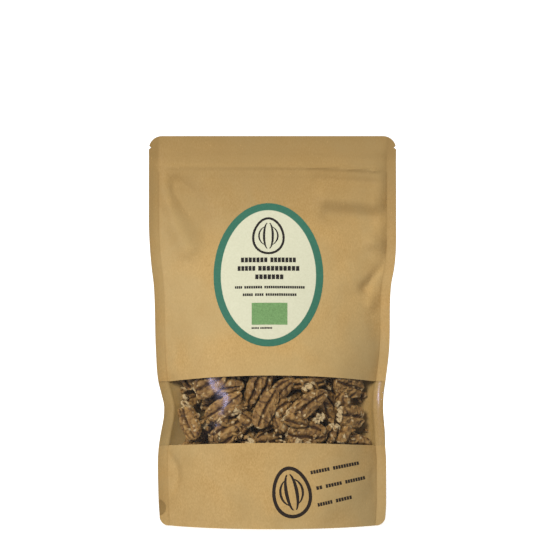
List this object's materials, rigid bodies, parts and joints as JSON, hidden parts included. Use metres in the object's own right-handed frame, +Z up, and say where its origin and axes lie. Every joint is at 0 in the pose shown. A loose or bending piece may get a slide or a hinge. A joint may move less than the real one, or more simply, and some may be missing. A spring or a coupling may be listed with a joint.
{
  "type": "stand-up window pouch of pecan halves",
  "caption": "Kraft paper stand-up pouch with a clear window band across the front, a press-to-close zip, an oval label and a fill of shelled pecan halves.",
  "frame": {"origin": "middle of the bottom of the pouch's bounding box, on the surface it stands on", "axes": "+Z up, the front with the window faces -Y, +X is to the right of someone facing the front"},
  "size_m": [0.14, 0.0482, 0.2205],
  "materials": {
    "kraft": "matt brown kraft paper with fine fibres",
    "film": "clear glossy film",
    "gusset": "matt brown kraft paper, film on its inner side",
    "zip": "milky clear extruded polyethylene",
    "label": "smooth coated paper, cream with a green border",
    "pecan": "matt ridged nut kernel skin"
  },
  "bodies": {
    "root": {"front_film": "film", "front_kraft_lower": "kraft", "front_kraft_upper": "kraft", "back_wall": "kraft", "bottom_gusset": "gusset", "zip_rib_strip": "zip", "zip_groove_strip": "zip", "oval_label": "label", "pecan_half_01": "pecan", "pecan_half_02": "pecan", "pecan_half_03": "pecan", "pecan_half_04": "pecan", "pecan_half_05": "pecan", "pecan_half_06": "pecan", "pecan_half_07": "pecan", "pecan_half_08": "pecan", "pecan_half_09": "pecan", "pecan_half_10": "pecan", "pecan_half_11": "pecan", "pecan_half_12": "pecan", "pecan_half_13": "pecan", "pecan_half_14": "pecan", "pecan_half_15": "pecan", "pecan_half_16": "pecan", "pecan_half_17": "pecan", "pecan_half_18": "pecan", "pecan_half_19": "pecan", "pecan_half_20": "pecan", "pecan_half_21": "pecan", "pecan_half_22": "pecan", "pecan_half_23": "pecan", "pecan_half_24": "pecan", "pecan_half_25": "pecan", "pecan_half_26": "pecan", "pecan_half_27": "pecan", "pecan_half_28": "pecan", "pecan_half_29": "pecan", "pecan_half_30": "pecan", "pecan_half_31": "pecan", "pecan_half_32": "pecan", "pecan_half_33": "pecan", "pecan_half_34": "pecan", "pecan_half_35": "pecan", "pecan_half_36": "pecan", "pecan_half_37": "pecan", "pecan_half_38": "pecan", "pecan_half_39": "pecan", "pecan_half_40": "pecan", "pecan_half_41": "pecan", "pecan_half_42": "pecan", "pecan_half_43": "pecan", "pecan_half_44": "pecan", "pecan_half_45": "pecan", "pecan_half_46": "pecan", "pecan_half_47": "pecan", "pecan_half_48": "pecan", "pecan_half_49": "pecan", "pecan_half_50": "pecan", "pecan_half_51": "pecan", "pecan_half_52": "pecan"}
  },
  "joints": []
}
